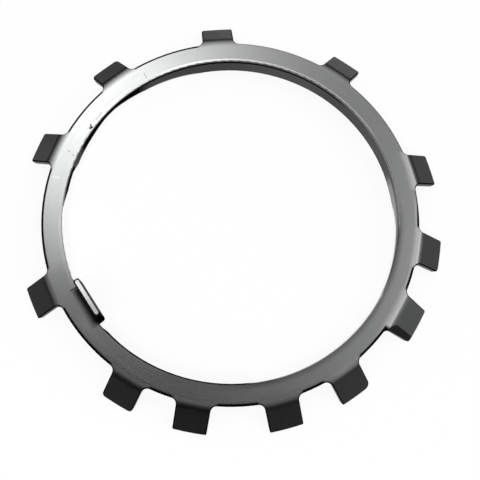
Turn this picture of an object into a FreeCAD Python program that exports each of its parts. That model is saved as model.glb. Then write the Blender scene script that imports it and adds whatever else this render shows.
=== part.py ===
import FreeCAD, Part
import math
import os

# Lock plate: one pressed ring of sheet steel. It lies in the XY plane with its face up.
# The origin is on the axis of the bore, level with the face, and Z is up. Sizes are in mm
# and angles in degrees, counted from X.

# Ring
BORE_DIAMETER = 150.0
RING_WIDTH = 9.5
SHEET = 2.5

# Collar turned down round the bore
COLLAR_DEPTH = 9.6
COLLAR_EDGE_RADIUS = 0.6
COLLAR_ROOT_RADIUS = 1.2
COLLAR_RIM_CHAMFER = 0.3

# Outer tabs, bent down
TAB_WIDTH = 14.8
TAB_SLOPE = 38.2
TAB_STRAIGHT = 11.8
TAB_BEND_INSIDE_RADIUS = 2.5
TAB_ROOT_RADIUS = 2.6
SHARP_CORNER = 0.8
WORN_CORNER = 1.8
BLUNT_CORNER = 3.0

# Each tab's angle round the ring, then the radius of its clockwise and of its other tip corner
TABS = (
    (15.0, SHARP_CORNER, SHARP_CORNER),
    (55.0, SHARP_CORNER, SHARP_CORNER),
    (95.0, SHARP_CORNER, SHARP_CORNER),
    (130.0, WORN_CORNER, WORN_CORNER),
    (160.0, SHARP_CORNER, SHARP_CORNER),
    (205.0, SHARP_CORNER, SHARP_CORNER),
    (240.0, WORN_CORNER, WORN_CORNER),
    (260.0, SHARP_CORNER, SHARP_CORNER),
    (285.0, SHARP_CORNER, SHARP_CORNER),
    (305.0, SHARP_CORNER, BLUNT_CORNER),
    (330.0, SHARP_CORNER, SHARP_CORNER),
    (350.0, WORN_CORNER, SHARP_CORNER),
)

# One tab was struck along its clockwise edge. The blow left a sloping facet and spread the edge
# outwards, past the plain side of the tab.
STRUCK_TAB_ANGLE = 330.0
STRUCK_WIDTH_AT_ROOT = 4.2
STRUCK_WIDTH_AT_TIP = 2.7
STRUCK_SPREAD_AT_ROOT = 3.2
STRUCK_SPREAD_AT_TIP = 1.2
STRUCK_TILT = 17.0

# Chamfer along the top of the whole outline
OUTLINE_CHAMFER = 0.5

# Key bent up from the bore, to enter the keyway of a shaft
KEY_ANGLE = 214.6
KEY_WIDTH = 19.2
KEY_HEIGHT = 13.5
KEY_BEND_INSIDE_RADIUS = 1.5
KEY_OFFSET = 1.2
KEY_TOP_CORNER = 3.2
KEY_END_CHAMFER = 0.35
KEY_RELIEF_RADIUS = 8.0
KEY_RELIEF_DEPTH = 0.4
KEY_COLLAR_GAP = 2.0

BORE_RADIUS = BORE_DIAMETER / 2
RING_RADIUS = BORE_RADIUS + RING_WIDTH
TAB_BEND_TOP_RADIUS = TAB_BEND_INSIDE_RADIUS + SHEET
TAB_BEND_CENTRE = (RING_RADIUS, -TAB_BEND_TOP_RADIUS)
KEY_INNER_FACE = BORE_RADIUS - KEY_OFFSET - SHEET
KEY_BEND_OUTSIDE_RADIUS = KEY_BEND_INSIDE_RADIUS + SHEET
KEY_FLAT_END = BORE_RADIUS + KEY_RELIEF_DEPTH + SHEET
UP = FreeCAD.Vector(0, 0, 1)
ACROSS = FreeCAD.Vector(0, 1, 0)
ORIGIN = FreeCAD.Vector(0, 0, 0)


def section_point(radius, height):
    return FreeCAD.Vector(radius, 0, height)


def plan_point(x, y):
    return FreeCAD.Vector(x, y, 0)


def section_arc(centre, radius, start, end):
    """An arc of a section round a centre, between two angles."""
    spots = []
    for share in (0.0, 0.5, 1.0):
        turn = math.radians(start + (end - start) * share)
        spots.append(section_point(centre[0] + radius * math.cos(turn), centre[1] + radius * math.sin(turn)))
    return Part.Arc(*spots).toShape()


def ends(piece):
    if isinstance(piece, FreeCAD.Vector):
        return piece, piece
    return piece.valueAt(piece.FirstParameter), piece.valueAt(piece.LastParameter)


def outlined_face(pieces):
    """A face whose outline runs through points and arcs in turn, with straight lines between them."""
    edges = []
    for piece, following in zip(pieces, pieces[1:] + pieces[:1]):
        if not isinstance(piece, FreeCAD.Vector):
            edges.append(piece)
        end = ends(piece)[1]
        start = ends(following)[0]
        if end.distanceToPoint(start) > 1e-6:
            edges.append(Part.LineSegment(end, start).toShape())
    return Part.Face(Part.Wire(edges))


def turned(shape, degrees):
    shape.rotate(ORIGIN, UP, degrees)
    return shape


def bent_down(shape):
    """Tips a shape drawn level with the ring down round the bend of a tab."""
    shape.rotate(section_point(*TAB_BEND_CENTRE), ACROSS, TAB_SLOPE)
    return shape


def bent_normal():
    """The way the upper side of a tab looks, beyond its bend."""
    slope = math.radians(TAB_SLOPE)
    return section_point(math.sin(slope), math.cos(slope))


def ring_with_collar():
    outside = BORE_RADIUS + SHEET
    root_centre = (outside + COLLAR_ROOT_RADIUS, -SHEET - COLLAR_ROOT_RADIUS)
    edge_centre = (BORE_RADIUS + COLLAR_EDGE_RADIUS, -COLLAR_EDGE_RADIUS)
    section = outlined_face([
        section_point(RING_RADIUS, 0),
        section_point(RING_RADIUS, -SHEET),
        section_arc(root_centre, COLLAR_ROOT_RADIUS, 90, 180),
        section_point(outside, -COLLAR_DEPTH + COLLAR_RIM_CHAMFER),
        section_point(outside - COLLAR_RIM_CHAMFER, -COLLAR_DEPTH),
        section_point(BORE_RADIUS + COLLAR_RIM_CHAMFER, -COLLAR_DEPTH),
        section_point(BORE_RADIUS, -COLLAR_DEPTH + COLLAR_RIM_CHAMFER),
        section_arc(edge_centre, COLLAR_EDGE_RADIUS, 180, 90),
    ])
    return section.revolve(ORIGIN, UP, 360)


def bent_strip():
    """A strip of the sheet, wider than a tab: flat, then the bend, then a leg that runs past the tip."""
    inner = RING_RADIUS - 2 * TAB_ROOT_RADIUS
    normal = bent_normal()
    leg = section_point(normal.z, -normal.x) * (2 * TAB_STRAIGHT)
    centre = section_point(*TAB_BEND_CENTRE)
    section = outlined_face([
        section_point(inner, 0),
        section_arc(TAB_BEND_CENTRE, TAB_BEND_TOP_RADIUS, 90, 90 - TAB_SLOPE),
        centre + normal * TAB_BEND_TOP_RADIUS + leg,
        centre + normal * TAB_BEND_INSIDE_RADIUS + leg,
        section_arc(TAB_BEND_CENTRE, TAB_BEND_INSIDE_RADIUS, 90 - TAB_SLOPE, 90),
        section_point(inner, -SHEET),
    ])
    section.translate(ACROSS * -TAB_WIDTH)
    return section.extrude(ACROSS * (2 * TAB_WIDTH))


def tab_side(hand, spread_at_root, spread_at_tip):
    """One side of a tab in plan: where its root fillet leaves the ring, the fillet's middle, where
    it meets the side, and a point on the side beyond the tip."""
    start = plan_point(RING_RADIUS, hand * (TAB_WIDTH / 2 + spread_at_root))
    tip = plan_point(RING_RADIUS + TAB_STRAIGHT, hand * (TAB_WIDTH / 2 + spread_at_tip))
    along = (tip - start).normalize()
    away = plan_point(-along.y, along.x) * hand
    offset = start + away * TAB_ROOT_RADIUS
    back = offset.dot(along)
    gap = offset.dot(offset) - (RING_RADIUS + TAB_ROOT_RADIUS) ** 2
    centre = offset + along * (math.sqrt(back * back - gap) - back)
    on_ring = centre * (RING_RADIUS / (RING_RADIUS + TAB_ROOT_RADIUS))
    on_side = centre - away * TAB_ROOT_RADIUS
    middle = centre + (on_ring + on_side - centre * 2).normalize() * TAB_ROOT_RADIUS
    return on_ring, middle, on_side, on_side + along * (2 * TAB_STRAIGHT)


def tab_plan(spread_at_root, spread_at_tip):
    root, middle, side, end = tab_side(-1, spread_at_root, spread_at_tip)
    other_root, other_middle, other_side, other_end = tab_side(1, 0, 0)
    inward = plan_point(-TAB_ROOT_RADIUS, 0)
    return outlined_face([
        root + inward,
        Part.Arc(root, middle, side).toShape(),
        end,
        other_end,
        Part.Arc(other_side, other_middle, other_root).toShape(),
        other_root + inward,
    ])


def beyond_tip():
    """What is cut off the leg to leave a tip that runs round the axis of the ring."""
    tip = RING_RADIUS + TAB_STRAIGHT
    half = TAB_WIDTH
    crown = math.sqrt(tip * tip - half * half)
    plan = outlined_face([
        Part.Arc(plan_point(crown, -half), plan_point(tip, 0), plan_point(crown, half)).toShape(),
        plan_point(tip + 2 * TAB_STRAIGHT, half),
        plan_point(tip + 2 * TAB_STRAIGHT, -half),
    ])
    plan.translate(UP * SHEET)
    return bent_down(plan.extrude(UP * (-3 * SHEET)))


def struck_edge():
    """What is taken off above the facet of the struck tab. It runs out in the bend."""
    inner_side = STRUCK_WIDTH_AT_ROOT - STRUCK_SPREAD_AT_ROOT
    inner_side_at_tip = STRUCK_WIDTH_AT_TIP - STRUCK_SPREAD_AT_TIP
    yaw = math.degrees(math.atan2(inner_side_at_tip - inner_side, TAB_STRAIGHT))
    width = STRUCK_WIDTH_AT_ROOT + SHARP_CORNER
    start = plan_point(-TAB_BEND_TOP_RADIUS, -width)
    cut = Part.makeBox(TAB_BEND_TOP_RADIUS + 2 * TAB_STRAIGHT, width, 2 * SHEET, start)
    cut.rotate(ORIGIN, FreeCAD.Vector(1, 0, 0), STRUCK_TILT)
    cut.rotate(ORIGIN, UP, yaw)
    cut.translate(plan_point(RING_RADIUS, inner_side - TAB_WIDTH / 2))
    return bent_down(cut)


def tip_corners(tab, hand):
    """The edges through the sheet where one side of a tab meets its tip."""
    tip = RING_RADIUS + TAB_STRAIGHT * math.cos(math.radians(TAB_SLOPE))
    found = []
    for edge in tab.Edges:
        first, last = [vertex.Point for vertex in edge.Vertexes]
        stands = (first - last).dot(bent_normal()) ** 2 > (0.9 * SHEET) ** 2
        if stands and first.x > tip and first.y * hand > 0:
            found.append(edge)
    return found


def tab(spreads, clockwise_corner, other_corner):
    plan = tab_plan(*spreads)
    plan.translate(UP * (-2 * TAB_STRAIGHT))
    shape = bent_strip().common(plan.extrude(UP * (4 * TAB_STRAIGHT))).cut(beyond_tip())
    for hand, radius in ((-1, clockwise_corner), (1, other_corner)):
        shape = shape.makeFillet(radius, tip_corners(shape, hand))
    return shape


def key():
    """The key with the flat of the ring that it grows from, before it is turned to its place."""
    outer_face = KEY_INNER_FACE + SHEET
    bend_centre = (outer_face + KEY_BEND_INSIDE_RADIUS, KEY_BEND_INSIDE_RADIUS)
    section = outlined_face([
        section_point(KEY_FLAT_END, -SHEET),
        section_arc(bend_centre, KEY_BEND_OUTSIDE_RADIUS, 270, 180),
        section_point(KEY_INNER_FACE, KEY_HEIGHT),
        section_point(outer_face, KEY_HEIGHT),
        section_arc(bend_centre, KEY_BEND_INSIDE_RADIUS, 180, 270),
        section_point(KEY_FLAT_END, 0),
    ])
    section.translate(ACROSS * (-KEY_WIDTH / 2))
    plate = section.extrude(ACROSS * KEY_WIDTH)
    end_face = [face for face in plate.Faces if face.BoundBox.ZMin > KEY_HEIGHT - 1e-6][0]
    corners = [edge for edge in end_face.Edges if edge.BoundBox.YLength < 1e-6]
    plate = plate.makeFillet(KEY_TOP_CORNER, corners)
    end_face = [face for face in plate.Faces if face.BoundBox.ZMin > KEY_HEIGHT - 1e-6][0]
    long_edges = [edge for edge in end_face.Edges if edge.BoundBox.XLength < 1e-6]
    return plate.makeChamfer(KEY_END_CHAMFER, long_edges)


def key_gap():
    """The room cut for the key: its own flat, a longer gap in the collar, and a shallow hollow in the
    bore on each side that lets it bend."""
    half = KEY_WIDTH / 2
    low = -2 * COLLAR_DEPTH
    corner = FreeCAD.Vector(KEY_INNER_FACE, -half, low)
    cut = Part.makeBox(KEY_FLAT_END - KEY_INNER_FACE, KEY_WIDTH, 4 * COLLAR_DEPTH, corner)
    collar_width = BORE_RADIUS + SHEET + COLLAR_ROOT_RADIUS - KEY_INNER_FACE
    corner.y -= KEY_COLLAR_GAP
    cut = cut.fuse(Part.makeBox(collar_width, KEY_WIDTH + 2 * KEY_COLLAR_GAP, -SHEET - low, corner))
    reach = BORE_RADIUS + KEY_RELIEF_DEPTH - KEY_RELIEF_RADIUS
    for side in (-half, half):
        centre = FreeCAD.Vector(math.sqrt(reach * reach - side * side), side, low)
        cut = cut.fuse(Part.makeCylinder(KEY_RELIEF_RADIUS, 4 * COLLAR_DEPTH, centre))
    return cut


def rise(face, spot):
    """How far a face looks up at a spot, from -1 to 1."""
    u, v = face.Surface.parameter(spot)
    return face.normalAt(u, v).z


def outline_edges(plate):
    """The edges where the upper side of the sheet meets the outline of the ring and of the tabs."""
    found = []
    for edge in plate.Edges:
        middle = edge.valueAt((edge.FirstParameter + edge.LastParameter) / 2)
        if math.hypot(middle.x, middle.y) < BORE_RADIUS + RING_WIDTH / 2:
            continue
        low, high = sorted(rise(face, middle) for face in plate.ancestorsOfType(edge, Part.Face))
        if high > 0.6 and low < 0.1:
            found.append(edge)
    return found


def lock_plate():
    plate = ring_with_collar().cut(turned(key_gap(), KEY_ANGLE))
    pieces = [turned(key(), KEY_ANGLE)]
    for angle, clockwise_corner, other_corner in TABS:
        struck = angle == STRUCK_TAB_ANGLE
        spreads = (STRUCK_SPREAD_AT_ROOT, STRUCK_SPREAD_AT_TIP) if struck else (0, 0)
        pieces.append(turned(tab(spreads, clockwise_corner, other_corner), angle))
    plate = plate.fuse(pieces).removeSplitter()
    plate = plate.makeChamfer(OUTLINE_CHAMFER, outline_edges(plate))
    plate = plate.cut(turned(struck_edge(), STRUCK_TAB_ANGLE))
    return plate.Solids[0]


def main():
    os.makedirs("parts", exist_ok=True)
    lock_plate().exportStep("parts/lock_plate.step")


if __name__ == "__main__":
    main()
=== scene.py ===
import math

import bpy
from mathutils import Matrix, Vector


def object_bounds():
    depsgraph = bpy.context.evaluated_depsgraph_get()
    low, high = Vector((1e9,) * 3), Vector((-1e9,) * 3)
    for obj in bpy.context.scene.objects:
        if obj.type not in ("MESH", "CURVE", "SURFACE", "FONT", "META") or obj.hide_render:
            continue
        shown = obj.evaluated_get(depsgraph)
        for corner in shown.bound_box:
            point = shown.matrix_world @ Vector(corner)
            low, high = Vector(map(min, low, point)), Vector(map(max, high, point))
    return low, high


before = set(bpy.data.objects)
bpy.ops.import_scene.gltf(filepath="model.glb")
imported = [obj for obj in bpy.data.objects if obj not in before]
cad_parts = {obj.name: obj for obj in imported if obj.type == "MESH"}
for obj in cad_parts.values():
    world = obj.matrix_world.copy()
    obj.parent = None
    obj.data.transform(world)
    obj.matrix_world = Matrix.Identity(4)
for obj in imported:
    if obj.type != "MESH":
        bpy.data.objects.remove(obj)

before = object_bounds()

# The plate lies as the frame has it: face up at height 0, key standing up. Lengths are in metres and
# angles in degrees from X, unless a line says otherwise.
MM = 0.001


def mm(*lengths):
    return tuple(length * MM for length in lengths)


PLATE = "lock_plate"

# Sizes and places of the plate. The stretch of a tab, over which the face fades into painted shade,
# reaches TAB_HALF_ANGLE to each side of its middle and then fades over TAB_BORDER.
RING_RADIUS = 84.5 * MM
TAB_ANGLES = (15, 55, 95, 130, 160, 205, 240, 260, 285, 305, 330, 350)
TAB_HALF_ANGLE = 5.8
TAB_BORDER = 1.2
KEY_HEIGHT = before[1][2]
KEY_ANGLE = 214.6
KEY_HALF_WIDTH = 9.6 * MM
KEY_END_MIDDLE = 72.35 * MM

# Below, a stretch of the ring is written as its middle, half its angle and its soft border in degrees.
# A border is written as the place where a share is 0 and the place where it is 1.

# The ground face, which fades out over the bends of the tabs into painted shade, later in some stretches,
# as painted shading of the bends
FADE_START = 82.5 * MM
FADE_END = 87.0 * MM
LATE_FADE = (205.0, 10.0, 12.0)
LATE_FADE_BY = 0.9 * MM
LONG_FADE = (150.0, 60.0, 15.0)
LONG_FADE_BY = 0.7 * MM
FACE_FOOT = mm(-0.55, -0.02)
FACE_TOP = mm(0.6, 0.1)

# Painted shade as a dark outline: the sloping edge of the sheet, told by how far its surface faces up
OUTSIDE = mm(80.5, 81.5)
STEEP_LIMIT = (0.15, 0.3)
FLAT_LIMIT = (0.77, 0.73)
# and a line on the flat between the tabs, thinner at the upper right
FLAT_LINE = (RING_RADIUS - 1.3 * MM, RING_RADIUS - 0.9 * MM)
FLAT_LINE_FOOT = mm(-1.5, -1.0)
FLAT_LINE_TOP = mm(0.3, 0.1)
THIN_LINE = (48.0, 40.0, 10.0)
THINNER_BY = 0.75 * MM

# Painted shade as a dark line at the edge of the bore, below it on the far side and on its rounding on the
# near side
FAR_EDGE = (92.0, 40.0, 10.0)
FAR_EDGE_RADIUS = mm(76.2, 76.0)
FAR_EDGE_TOP = mm(-0.55, -1.0)
FAR_EDGE_FOOT = mm(-2.3, -1.6)
NEAR_EDGE = (252.0, 30.0, 6.0)
NEAR_EDGE_RADIUS = mm(75.7, 75.5)
NEAR_EDGE_FOOT = mm(-0.7, -0.5)
OUTLINE_SHADE_GREY = 0.006

# Painted soft shade on the face: along its inner and its outer border, beside the key, at the roots of the
# near tabs, and between the key and the tab next to it
INNER_SHADE = (-42.0, 32.0, 22.0)
INNER_SHADE_RADIUS = mm(78.4, 75.0)
OUTER_SHADE = (250.0, 48.0, 20.0)
OUTER_SHADE_RADIUS = mm(81.9, 84.5)
BORDER_SHADE_SHARE = 0.55
KEY_SHADE_OUTSIDE = mm(79.2, 75.2)
KEY_SHADE_INSIDE = mm(60.0, 65.0)
KEY_SHADE_SIDE = mm(11.2, 8.0)
ROOT_SHADE = (262.0, 32.0, 10.0)
ROOT_SHADE_RADIUS = mm(81.0, 84.5)
ROOT_SHADE_SHARE = 0.35
FAINT_SHADE = (208.0, 4.0, 8.0)
FAINT_SHADE_SHARE = 0.2
SHADE_GREY = 0.03

# Painted highlights, bright lines on the face: along the bore on the far side and on the left, and along
# the outline and at the roots of the tabs on the right
FAR_LINE = (72.0, 32.0, 18.0)
FAR_LINE_RADIUS = mm(76.4, 76.1)
LEFT_LINE = (195.0, 9.0, 6.0)
LEFT_LINE_RADIUS = mm(77.4, 76.4)
LEFT_LINE_SHARE = 0.15
RIGHT_LINE = (-17.0, 18.0, 8.0)
RIGHT_LINE_INSIDE = mm(82.2, 82.8)
RIGHT_LINE_OUTSIDE = mm(83.8, 83.4)
RIGHT_LINE_SHARE = 0.45
ROOT_LINE = (-12.0, 30.0, 8.0)
ROOT_LINE_RADIUS = mm(81.2, 83.4)
ROOT_LINE_SHARE = 0.6
BRIGHT_FOOT = mm(-0.05, -0.02)
BRIGHT_TOP = mm(0.2, 0.05)
PAINTED_HIGHLIGHT_GREY = 0.95

# The wall of the bore. Its upper part is painted dark as shade and its lower part painted bright as a
# highlight: how deep the dark part goes, as azimuth in degrees and depth in mm
WALL_RADIUS = mm(75.6, 75.4)
WALL_TOP = mm(0.0, -0.2)
LEFT_WALL_HIGHLIGHT = (152.0, 58.0, 3.0)
LEFT_DARK_DEPTHS = (
    (98.0, 10.4), (106.0, 8.7), (112.0, 7.9), (124.0, 6.7), (137.0, 3.4), (142.0, 3.4), (150.0, 5.2),
    (161.0, 6.4), (165.0, 3.8), (172.0, 4.1), (177.0, 1.2), (180.0, -0.2),
)
LEFT_MIDDLE = 150.0
LEFT_SOFTNESS = 0.5 * MM
RIGHT_WALL_HIGHLIGHT = (-36.0, 45.0, 4.0)
RIGHT_DARK_DEPTHS = (
    (-36.0, -1.6), (-28.0, 0.4), (-21.0, 2.0), (-12.0, 3.8), (-3.0, 5.2), (4.0, 8.0), (9.0, 11.5),
)
RIGHT_MIDDLE = -30.0
RIGHT_SOFTNESS = 1.6 * MM
WALL_HIGHLIGHT_GREY = 0.97
# Painted light in a mid-grey strip on the right; painted shade in the black foot all round and black
# stretches on the left with their share
LIT_STRIP = (5.0, 6.0, 6.0)
LIT_STRIP_TOP = mm(-2.6, -3.8)
LIT_STRIP_FOOT = mm(-9.0, -8.4)
LIT_STRIP_GREY = 0.26
BLACK_FOOT = mm(-8.7, -9.2)
BLACK_STRETCHES = ((141.0, 6.0, 15.0, 1.0), (170.0, 5.0, 3.0, 1.0), (156.0, 6.0, 4.0, 0.35))
BLACK_TOP = mm(-0.5, -0.9)
BLACK_GREY = 0.008

# The key: its sides painted dark as shade, and the pale strip with round ends on its sheared end, pale as
# a sheared face and running from pale to dark across the key as painted light
KEY_SIDES_FOOT = mm(1.0, 2.0)
KEY_SIDES_SHADE_GREY = 0.012
KEY_STRIP_INSET = 1.85 * MM
KEY_STRIP_EDGE = mm(0.90, 0.66)
KEY_STRIP_FOOT = (KEY_HEIGHT - 1.6 * MM, KEY_HEIGHT - 1.3 * MM)
KEY_STRIP_FADE = mm(-7.0, 8.0)
KEY_STRIP_GREYS = (0.95, 0.52)
KEY_STRIP_METAL = 0.1

# Marks on the face: start and end in mm, half width in mm, and how dark they are
SCRATCHES = (
    ((-65.3, 39.5), (-64.7, 40.0), 0.55, 1.0),
    ((-65.0, 39.8), (-65.2, 41.3), 0.32, 1.0),
    ((-63.0, 43.6), (-60.4, 47.6), 0.22, 0.45),
    ((-68.0, 32.6), (-66.2, 37.0), 0.16, 0.40),
    ((-41.9, 67.8), (-40.6, 65.2), 0.20, 0.45),
    ((-59.4, 50.6), (-51.6, 58.4), 0.12, 0.30),
    ((-51.6, 58.4), (-45.8, 63.2), 0.10, 0.25),
    ((-66.9, 39.0), (-63.6, 43.9), 0.10, 0.30),
    ((-74.6, 28.4), (-74.0, 27.7), 0.22, 0.50),
    ((-72.6, 26.5), (-72.1, 25.9), 0.20, 0.50),
    ((-47.5, 64.5), (-44.0, 67.6), 0.10, 0.25),
)
SCRATCH_EDGE = (1.5, 0.5)
SCRATCH_FOOT = mm(-0.3, -0.1)
SCRATCH_GREY = 0.02
PALE_MARK = ((-80.6, 15.6), (-77.6, 15.2), 0.45, 0.22)
PALE_MARK_EDGE = (1.6, 0.4)
PALE_MARK_GREY = 0.90

# The ground face, and the dark grey painted as shade on what is bent out of it: greys between which each
# varies, and roughness between which each varies
GROUND_GREYS = (0.52, 0.57)
GROUND_TINT = 0.01
GROUND_ROUGHNESS = (0.25, 0.27)
BENT_SHADE_GREYS = (0.036, 0.047)
BENT_SHADE_TINT = 0.02
BENT_ROUGHNESS = (0.36, 0.42)
# Where the painted shade on what is bent out is darker, or paler as painted light: the stretch and its
# grey
BENT_SHADE_PATCHES = (
    ((122.0, 18.0, 26.0), 0.018),
    ((330.0, 8.0, 4.0), 0.062),
    ((3.0, 18.0, 6.0), 0.032),
)
FADE_ROUGHER_BY = 0.08
WALL_HIGHLIGHT_ROUGHNESS = 0.12

# Painted shade in the edge tint: where the steel doesn't brighten at a low angle, and how much of that is
# lost
LOW_ANGLE_SHADE_TABS = (126.0, 12.0, 26.0)
LOW_ANGLE_SHADE_TABS_RADIUS = mm(84.5, 86.5)
LOW_ANGLE_SHADE_TABS_SHARE = 0.2
LOW_ANGLE_SHADE_WALL = (34.0, 20.0, 8.0)
LOW_ANGLE_SHADE_WALL_SHARE = 0.15
LOW_ANGLE_SHADE_KEY_SHARE = 0.7

# The grain, as scale and detail: soft clouds, fine specks, and brushed lines that run round the ring
CLOUDS = (38.0, 2.0)
SPECKS = (300.0, 3.0)
BRUSH = (900.0, 1.0)
# How little the brushed lines change along their length, how high they stand and how much it shows
BRUSH_LENGTHWISE = 0.004
BRUSH_HEIGHT = 0.1 * MM
BRUSH_STRENGTH = 0.006
GRAIN_RANGE = (0.3, 0.7)

# The camera, fitted to the picture: how far it leans off the axis of the ring, which way is far,
# the turn of the ring, and the camera's place and focal length
LEAN = math.radians(14.542)
FAR_TURN = math.radians(-5.549)
RING_TURN = math.radians(-0.713)
CAMERA_OFFSET = Vector((3.8055, -12.135, 317.92)) * MM
FOCAL_SHARE = 710.934 / 480.0
SENSOR = 36.0
CLIP_START = 0.01
CLIP_END = 20.0

# The studio that the steel mirrors: a dark room with a white backdrop low down all round, and soft
# panes as azimuth, elevation, spread (all in degrees) and level
BACKDROP_LEVEL = 1.0
BACKDROP_TOP = 0.14
PANES = (
    (114.0, 63.0, 6.0, 3.71),
    (25.0, 50.0, 11.0, 1.34),
    (90.0, 45.0, 14.0, 0.20),
    (-20.0, 60.0, 12.0, 1.03),
    (0.0, 40.0, 12.0, 0.80),
    (0.0, 22.0, 16.0, 2.20),
    (60.0, 36.0, 10.0, 0.20),
    (90.0, 37.0, 10.0, 0.35),
    (120.0, 37.0, 10.0, 0.60),
    (150.0, 37.0, 11.0, 0.80),
    (185.0, 35.0, 11.0, 0.60),
    (255.0, 42.0, 12.0, 0.08),
    (305.0, 42.0, 12.0, 0.12),
    (90.0, 22.0, 16.0, 0.50),
    (180.0, 22.0, 16.0, 0.30),
    (225.0, 22.0, 16.0, 0.38),
    (-45.0, 22.0, 16.0, 0.67),
)

# A wide soft lamp that brings matt surfaces up to a plain level and gives the shadow on the floor.
# The steel doesn't mirror it.
FILL_AZIMUTH = 250.0
FILL_ELEVATION = 60.0
FILL_DISTANCE = 1.5
FILL_SIZE = 0.9
FILL_POWER = 8.5

# The floor is white to the eye and in the steel, and a share of it takes the lamp's light and the shadow
FLOOR_HALF = 3.0
FLOOR_LIT_SHARE = 0.12
FLOOR_GREY = 0.9
FLOOR_WHITE = 1.02


class Graph:
    """Short calls for building a material or a world."""

    def __init__(self, tree):
        tree.nodes.clear()
        self.tree = tree

    def add(self, kind, inputs=None, **settings):
        node = self.tree.nodes.new(kind)
        for name, value in settings.items():
            setattr(node, name, value)
        for name, value in (inputs or {}).items():
            self.feed(node.inputs[name], value)
        return node

    def feed(self, socket, value):
        if isinstance(value, bpy.types.NodeSocket):
            self.tree.links.new(value, socket)
        else:
            socket.default_value = value

    def math(self, operation, a, b=0.0):
        return self.add("ShaderNodeMath", {0: a, 1: b}, operation=operation).outputs[0]

    def vector(self, operation, a, b=(0.0, 0.0, 0.0), output="Vector"):
        return self.add("ShaderNodeVectorMath", {0: a, 1: b}, operation=operation).outputs[output]

    def combine(self, x, y, z):
        return self.add("ShaderNodeCombineXYZ", {"X": x, "Y": y, "Z": z}).outputs[0]

    def ramp(self, value, low, high, to_low=0.0, to_high=1.0, kind="SMOOTHSTEP"):
        inputs = {"Value": value, "From Min": low, "From Max": high, "To Min": to_low, "To Max": to_high}
        return self.add("ShaderNodeMapRange", inputs, interpolation_type=kind).outputs["Result"]

    def between(self, share, low, high):
        """A number that runs straight from one to another as a share goes from 0 to 1."""
        return self.ramp(share, 0.0, 1.0, low, high, kind="LINEAR")

    def mix(self, share, a, b):
        node = self.add("ShaderNodeMix", data_type="RGBA")
        for index, value in ((0, share), (6, a), (7, b)):
            self.feed(node.inputs[index], value)
        return node.outputs[2]

    def noise(self, place, scale, detail):
        inputs = {"Vector": place, "Scale": scale, "Detail": detail}
        return self.add("ShaderNodeTexNoise", inputs).outputs["Fac"]

    def both(self, *shares):
        """All of several shares at once."""
        product = shares[0]
        for share in shares[1:]:
            product = self.math("MULTIPLY", product, share)
        return product

    def most(self, *shares):
        """The largest of several shares."""
        largest = shares[0]
        for share in shares[1:]:
            largest = self.math("MAXIMUM", largest, share)
        return largest

    def without(self, share):
        return self.math("SUBTRACT", 1.0, share)

    def arc(self, way, middle, half, soft):
        """1 within half an angle of a direction from the axis, falling to 0 over a soft border."""
        turn = math.radians(middle)
        towards = self.vector("DOT_PRODUCT", way, (math.cos(turn), math.sin(turn), 0.0), output="Value")
        return self.ramp(towards, math.cos(math.radians(half + soft)), math.cos(math.radians(half)))

    def distance_to_line(self, place, start, end):
        """How far a place is, in plan, from a straight line between two points given in mm."""
        first = Vector((*start, 0.0)) * MM
        run = Vector((*end, 0.0)) * MM - first
        offset = self.vector("SUBTRACT", place, first)
        share = self.vector("DOT_PRODUCT", offset, run / run.length_squared, output="Value")
        share = self.between(share, 0.0, 1.0)
        foot = self.vector("MULTIPLY", self.combine(share, share, share), run)
        return self.vector("DISTANCE", offset, foot, output="Value")


def grey(level, tint=0.0):
    """A grey, a little blue where it has a tint."""
    return (level * (1.0 - tint), level, level * (1.0 + 0.3 * tint), 1.0)


class Places:
    """Where a point of the plate is, in the terms that the finish is described in."""

    def __init__(self, g):
        self.place = g.add("ShaderNodeTexCoord").outputs["Object"]
        x, y, self.z = g.add("ShaderNodeSeparateXYZ", {0: self.place}).outputs
        self.flat = g.combine(x, y, 0.0)
        self.radius = g.vector("LENGTH", self.flat, output="Value")
        self.way = g.vector("NORMALIZE", self.flat)
        normal = g.add("ShaderNodeNewGeometry").outputs["True Normal"]
        self.rise = g.add("ShaderNodeSeparateXYZ", {0: normal}).outputs["Z"]
        turn = math.radians(KEY_ANGLE)
        outward = (math.cos(turn), math.sin(turn), 0.0)
        across = (-math.sin(turn), math.cos(turn), 0.0)
        self.key_out = g.vector("DOT_PRODUCT", self.place, outward, output="Value")
        self.key_across = g.vector("DOT_PRODUCT", self.place, across, output="Value")
        self.key_aside = g.math("ABSOLUTE", self.key_across)
        tabs = (g.arc(self.way, angle, TAB_HALF_ANGLE, TAB_BORDER) for angle in TAB_ANGLES)
        self.near_tab = g.most(*tabs)
        self.bore_wall = g.both(g.ramp(self.radius, *WALL_RADIUS), g.ramp(self.z, *WALL_TOP))


def ground_face(g, at):
    """1 on the ground face. It fades out on the bends into painted shade, a little further out on the
    left.
    """
    reach = g.math("SUBTRACT", at.radius, g.both(g.arc(at.way, *LATE_FADE), LATE_FADE_BY))
    end = g.math("ADD", FADE_END, g.both(g.arc(at.way, *LONG_FADE), LONG_FADE_BY))
    bends = g.ramp(reach, end, FADE_START)
    level = g.both(g.ramp(at.z, *FACE_FOOT), g.ramp(at.z, *FACE_TOP))
    return g.both(g.most(bends, g.without(at.near_tab)), level)


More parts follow.
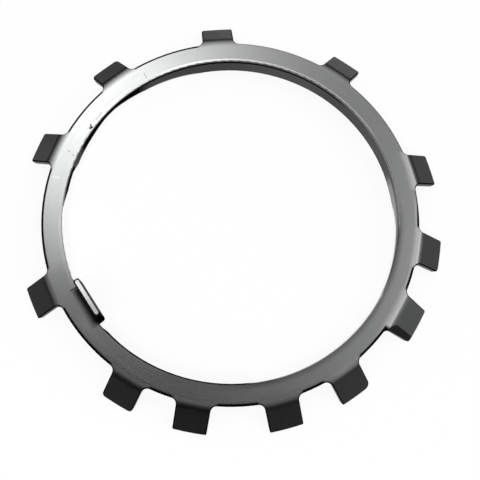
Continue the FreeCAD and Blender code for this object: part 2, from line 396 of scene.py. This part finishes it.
def outline(g, at):
    """A painted dark line of shade along the outline and at the bore's edge, where the sheet's edge is
    rolled over.
    """
    slope = g.both(g.ramp(at.rise, *STEEP_LIMIT), g.ramp(at.rise, *FLAT_LIMIT))
    sloping = g.both(slope, g.ramp(at.radius, *OUTSIDE))
    thinner = g.both(g.arc(at.way, *THIN_LINE), THINNER_BY)
    flat_line = g.ramp(g.math("SUBTRACT", at.radius, thinner), *FLAT_LINE)
    level = g.both(g.ramp(at.z, *FLAT_LINE_FOOT), g.ramp(at.z, *FLAT_LINE_TOP))
    flat_line = g.both(flat_line, g.without(at.near_tab), level)
    return g.most(sloping, flat_line, bore_edge(g, at))


def bore_edge(g, at):
    """A painted dark line of shade at the edge of the bore, on its far and its near side."""
    far_height = g.both(g.ramp(at.z, *FAR_EDGE_TOP), g.ramp(at.z, *FAR_EDGE_FOOT))
    far = g.both(g.ramp(at.radius, *FAR_EDGE_RADIUS), far_height, g.arc(at.way, *FAR_EDGE))
    near = g.both(g.ramp(at.radius, *NEAR_EDGE_RADIUS), g.ramp(at.z, *NEAR_EDGE_FOOT))
    near = g.both(near, g.arc(at.way, *NEAR_EDGE))
    return g.most(far, near)


def soft_shade(g, at):
    """Painted shade: the soft dark borders of the face, and the shade at the key and at the roots of the
    near tabs.
    """
    inner = g.both(g.ramp(at.radius, *INNER_SHADE_RADIUS), g.arc(at.way, *INNER_SHADE))
    outer = g.both(g.ramp(at.radius, *OUTER_SHADE_RADIUS), g.arc(at.way, *OUTER_SHADE))
    outer = g.both(outer, g.without(at.near_tab))
    borders = g.both(g.most(inner, outer), BORDER_SHADE_SHARE)
    key = g.both(g.ramp(at.key_out, *KEY_SHADE_OUTSIDE), g.ramp(at.key_out, *KEY_SHADE_INSIDE))
    key = g.both(key, g.ramp(at.key_aside, *KEY_SHADE_SIDE))
    roots = g.both(g.ramp(at.radius, *ROOT_SHADE_RADIUS), g.arc(at.way, *ROOT_SHADE))
    roots = g.both(roots, at.near_tab, ROOT_SHADE_SHARE)
    faint = g.both(g.arc(at.way, *FAINT_SHADE), FAINT_SHADE_SHARE)
    return g.most(key, roots, faint, borders)


def painted_highlight_lines(g, at):
    """Painted highlights along the edges of the face."""
    far = g.both(g.ramp(at.radius, *FAR_LINE_RADIUS), g.arc(at.way, *FAR_LINE))
    left = g.both(g.ramp(at.radius, *LEFT_LINE_RADIUS), g.arc(at.way, *LEFT_LINE), LEFT_LINE_SHARE)
    right = g.both(g.ramp(at.radius, *RIGHT_LINE_INSIDE), g.ramp(at.radius, *RIGHT_LINE_OUTSIDE))
    right = g.both(right, g.arc(at.way, *RIGHT_LINE), RIGHT_LINE_SHARE)
    roots = g.both(g.ramp(at.radius, *ROOT_LINE_RADIUS), g.arc(at.way, *ROOT_LINE))
    roots = g.both(roots, at.near_tab, ROOT_LINE_SHARE)
    level = g.both(g.ramp(at.z, *BRIGHT_FOOT), g.ramp(at.z, *BRIGHT_TOP))
    return g.both(g.most(far, left, right, roots), level)


def angle_from(g, at, middle):
    """The angle round the axis from a middle direction, in degrees."""
    inputs = {"Vector": at.flat, "Angle": math.radians(-middle)}
    turned = g.add("ShaderNodeVectorRotate", inputs, rotation_type="Z_AXIS").outputs[0]
    x, y, _ = g.add("ShaderNodeSeparateXYZ", {0: turned}).outputs
    return g.math("MULTIPLY", g.math("ARCTAN2", y, x), math.degrees(1.0))


def dark_depth(g, at, middle, depths):
    """How deep the dark part of the wall goes, running straight from each place of a list to the next."""
    angle = angle_from(g, at, middle)
    depth = depths[0][1] * MM
    for (start, low), (end, high) in zip(depths, depths[1:]):
        change = g.ramp(angle, start - middle, end - middle, 0.0, (high - low) * MM, kind="LINEAR")
        depth = g.math("ADD", depth, change)
    return depth


def painted_highlight_wall(g, at):
    """Where the wall of the bore is painted bright as a highlight, below its dark upper part."""
    left = g.math("ADD", at.z, dark_depth(g, at, LEFT_MIDDLE, LEFT_DARK_DEPTHS))
    left = g.both(g.ramp(left, LEFT_SOFTNESS, -LEFT_SOFTNESS), g.arc(at.way, *LEFT_WALL_HIGHLIGHT))
    right = g.math("ADD", at.z, dark_depth(g, at, RIGHT_MIDDLE, RIGHT_DARK_DEPTHS))
    right = g.both(g.ramp(right, RIGHT_SOFTNESS, -RIGHT_SOFTNESS), g.arc(at.way, *RIGHT_WALL_HIGHLIGHT))
    return g.both(g.most(left, right), at.bore_wall)


def painted_lit_strip(g, at):
    """A strip of the wall on the right painted mid grey as light on it, less bright than the painted
    highlight.
    """
    strip = g.both(g.ramp(at.z, *LIT_STRIP_TOP), g.ramp(at.z, *LIT_STRIP_FOOT))
    return g.both(strip, at.bore_wall, g.arc(at.way, *LIT_STRIP))


def painted_black_shade(g, at):
    """Painted shade, the darkest of the wall: its foot all round, and some stretches on the left."""
    left = g.most(*(g.both(g.arc(at.way, *stretch), share) for *stretch, share in BLACK_STRETCHES))
    left = g.both(left, g.ramp(at.z, *BLACK_TOP))
    return g.both(at.bore_wall, g.most(g.ramp(at.z, *BLACK_FOOT), left))


def key_end(g, at):
    """The sheared end of the key: a pale strip with round ends."""
    beyond = g.most(g.math("SUBTRACT", at.key_aside, KEY_HALF_WIDTH - KEY_STRIP_INSET), 0.0)
    out = g.math("SUBTRACT", at.key_out, KEY_END_MIDDLE)
    distance = g.vector("LENGTH", g.combine(beyond, out, 0.0), output="Value")
    return g.both(g.ramp(distance, *KEY_STRIP_EDGE), g.ramp(at.z, *KEY_STRIP_FOOT))


# The strip's grey runs from pale to dark across the key: painted light on the pale sheared face.
def key_end_colour(g, at):
    pale, dark = KEY_STRIP_GREYS
    return g.mix(g.ramp(at.key_across, *KEY_STRIP_FADE), grey(pale), grey(dark))


# Painted shade: the key's sides take a near black grey.
def key_sides(g, at):
    """All of the key above its bend. Nothing else of the plate stands above the face."""
    return g.ramp(at.z, *KEY_SIDES_FOOT)


def mark(g, at, start, end, half_width, strength, edge):
    """A straight mark on the face, whose soft edge is given in half widths."""
    outer, inner = edge
    distance = g.distance_to_line(at.flat, start, end)
    return g.ramp(distance, half_width * outer * MM, half_width * inner * MM, 0.0, strength)


def scratches(g, at):
    dark = g.most(0.0, *(mark(g, at, *scratch, SCRATCH_EDGE) for scratch in SCRATCHES))
    return g.both(dark, g.ramp(at.z, *SCRATCH_FOOT))


def pale_mark(g, at):
    return mark(g, at, *PALE_MARK, PALE_MARK_EDGE)


def base_colour(g, at, face, clouds, specks):
    """The ground face, and the dark grey painted as shade on what is bent out of it."""
    dark, pale = (grey(level, BENT_SHADE_TINT) for level in BENT_SHADE_GREYS)
    bent_shade = g.mix(specks, dark, pale)
    for stretch, level in BENT_SHADE_PATCHES:
        bent_shade = g.mix(g.arc(at.way, *stretch), bent_shade, grey(level, BENT_SHADE_TINT))
    dark, pale = (grey(level, GROUND_TINT) for level in GROUND_GREYS)
    return g.mix(face, bent_shade, g.mix(clouds, dark, pale))


def low_angle_shade(g, at, black, line, wall_highlight):
    """Painted shade in the edge tint: how far the steel fails to brighten at a low angle."""
    tabs = g.both(g.ramp(at.radius, *LOW_ANGLE_SHADE_TABS_RADIUS), g.arc(at.way, *LOW_ANGLE_SHADE_TABS), LOW_ANGLE_SHADE_TABS_SHARE)
    wall = g.both(at.bore_wall, g.arc(at.way, *LOW_ANGLE_SHADE_WALL), LOW_ANGLE_SHADE_WALL_SHARE)
    key = g.both(key_sides(g, at), LOW_ANGLE_SHADE_KEY_SHARE)
    return g.both(g.most(black, line, tabs, wall, key), g.without(wall_highlight))


def steel():
    """Ground face, painted shade on what is bent out of it, painted lines and patches of light and shade,
    a pale sheared key end, and the wear.
    """
    material = bpy.data.materials.new("brushed_steel")
    material.use_nodes = True
    g = Graph(material.node_tree)
    at = Places(g)
    clouds = g.noise(at.place, *CLOUDS)
    specks = g.noise(at.place, *SPECKS)
    lengthwise = g.vector("MULTIPLY", at.way, (BRUSH_LENGTHWISE, BRUSH_LENGTHWISE, 0.0))
    brush = g.noise(g.vector("ADD", lengthwise, g.combine(0.0, 0.0, at.radius)), *BRUSH)

    face = ground_face(g, at)
    line = outline(g, at)
    black = painted_black_shade(g, at)
    wall_highlight = painted_highlight_wall(g, at)
    sheared = key_end(g, at)
    colour = base_colour(g, at, face, clouds, specks)
    # Over the base colour, from the lowest: painted shade, painted highlights, the painted dark outline,
    # painted light and shade on the bore's wall, the scratches and the pale mark, the key's sides painted
    # dark as shade, and its end strip
    layers = (
        (soft_shade(g, at), grey(SHADE_GREY)),
        (painted_highlight_lines(g, at), grey(PAINTED_HIGHLIGHT_GREY)),
        (line, grey(OUTLINE_SHADE_GREY)),
        (painted_lit_strip(g, at), grey(LIT_STRIP_GREY)),
        (black, grey(BLACK_GREY)),
        (wall_highlight, grey(WALL_HIGHLIGHT_GREY)),
        (scratches(g, at), grey(SCRATCH_GREY)),
        (pale_mark(g, at), grey(PALE_MARK_GREY)),
        (key_sides(g, at), grey(KEY_SIDES_SHADE_GREY)),
        (sheared, key_end_colour(g, at)),
    )
    for share, layer in layers:
        colour = g.mix(share, colour, layer)

    bent_roughness = g.ramp(specks, *GRAIN_RANGE, *BENT_ROUGHNESS, kind="LINEAR")
    face_roughness = g.ramp(brush, *GRAIN_RANGE, *GROUND_ROUGHNESS, kind="LINEAR")
    # 1 where the face is half faded
    fading = g.both(4.0, face, g.without(face))
    roughness = g.between(face, bent_roughness, face_roughness)
    roughness = g.math("ADD", roughness, g.both(fading, FADE_ROUGHER_BY))
    roughness = g.between(wall_highlight, roughness, WALL_HIGHLIGHT_ROUGHNESS)
    edge_tint = g.mix(low_angle_shade(g, at, black, line, wall_highlight), grey(1.0), grey(0.0))
    bump = g.add("ShaderNodeBump", {"Height": brush, "Strength": BRUSH_STRENGTH, "Distance": BRUSH_HEIGHT})
    inputs = {
        "Base Color": colour,
        "Metallic": g.ramp(sheared, 0.0, 1.0, 1.0, KEY_STRIP_METAL),
        "Roughness": roughness,
        "Specular Tint": edge_tint,
        "Normal": bump.outputs[0],
    }
    shader = g.add("ShaderNodeBsdfPrincipled", inputs)
    g.add("ShaderNodeOutputMaterial", {"Surface": shader.outputs["BSDF"]})
    return material


def seen_or_mirrored(g):
    """1 for the rays that show the background: the camera's, and those that metal and glass mirror."""
    path = g.add("ShaderNodeLightPath").outputs
    return g.most(path["Is Camera Ray"], path["Is Glossy Ray"], path["Is Transmission Ray"])


def floor_material():
    material = bpy.data.materials.new("white_floor")
    material.use_nodes = True
    g = Graph(material.node_tree)
    lit = g.add("ShaderNodeBsdfDiffuse", {"Color": grey(FLOOR_GREY)}).outputs[0]
    white = g.add("ShaderNodeEmission", {"Color": grey(1.0), "Strength": FLOOR_WHITE}).outputs[0]
    share = g.both(seen_or_mirrored(g), 1.0 - FLOOR_LIT_SHARE)
    surface = g.add("ShaderNodeMixShader", {0: share, 1: lit, 2: white}).outputs[0]
    g.add("ShaderNodeOutputMaterial", {"Surface": surface})
    return material


def make_floor():
    low = before[0][2]
    mesh = bpy.data.meshes.new("floor")
    corners = ((-1, -1), (1, -1), (1, 1), (-1, 1))
    mesh.from_pydata([(x * FLOOR_HALF, y * FLOOR_HALF, low) for x, y in corners], [], [(0, 1, 2, 3)])
    floor = bpy.data.objects.new("floor", mesh)
    scene.collection.objects.link(floor)
    floor.data.materials.append(floor_material())


def direction(azimuth, elevation):
    turn = math.radians(azimuth)
    rise = math.radians(elevation)
    return (math.cos(rise) * math.cos(turn), math.cos(rise) * math.sin(turn), math.sin(rise))


def make_world():
    """A dim room with soft bright panes, and a white backdrop low down all round."""
    world = bpy.data.worlds.new("studio")
    scene.world = world
    world.use_nodes = True
    g = Graph(world.node_tree)
    way = g.add("ShaderNodeTexCoord").outputs["Generated"]
    up = g.add("ShaderNodeSeparateXYZ", {0: way}).outputs["Z"]
    level = g.ramp(up, 0.0, BACKDROP_TOP, BACKDROP_LEVEL, 0.0)
    for azimuth, elevation, spread, strength in PANES:
        towards = g.vector("DOT_PRODUCT", way, direction(azimuth, elevation), output="Value")
        sharpness = 1.0 / math.radians(spread) ** 2
        fall = g.math("MULTIPLY", g.math("SUBTRACT", towards, 1.0), sharpness)
        level = g.math("ADD", level, g.both(g.math("EXPONENT", fall), strength))
    seen = g.add("ShaderNodeLightPath").outputs["Is Camera Ray"]
    colour = g.mix(seen, g.combine(level, level, level), grey(1.0))
    back = g.add("ShaderNodeBackground", {"Color": colour, "Strength": 1.0})
    g.add("ShaderNodeOutputWorld", {"Surface": back.outputs[0]})


def make_fill_lamp():
    data = bpy.data.lights.new("fill_lamp", "AREA")
    data.shape = "DISK"
    data.size = FILL_SIZE
    data.energy = FILL_POWER
    lamp = bpy.data.objects.new("fill_lamp", data)
    towards = Vector(direction(FILL_AZIMUTH, FILL_ELEVATION))
    lamp.location = towards * FILL_DISTANCE
    lamp.rotation_euler = towards.to_track_quat("Z", "Y").to_euler()
    lamp.visible_glossy = False
    scene.collection.objects.link(lamp)


def make_camera():
    lean = Matrix.Rotation(-LEAN, 3, "X")
    around = Matrix.Rotation(FAR_TURN, 3, "Z")
    to_view = around @ lean @ around.transposed() @ Matrix.Rotation(RING_TURN, 3, "Z")
    to_object = to_view.transposed()
    data = bpy.data.cameras.new("camera")
    data.sensor_width = SENSOR
    data.lens = SENSOR * FOCAL_SHARE
    data.clip_start = CLIP_START
    data.clip_end = CLIP_END
    camera = bpy.data.objects.new("camera", data)
    place = to_object.to_4x4()
    place.translation = to_object @ CAMERA_OFFSET
    camera.matrix_world = place
    scene.collection.objects.link(camera)
    scene.camera = camera


scene = bpy.context.scene
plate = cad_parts[PLATE]
plate.data.materials.clear()
plate.data.materials.append(steel())

make_floor()
make_world()
make_fill_lamp()
make_camera()
scene.view_settings.view_transform = "Standard"
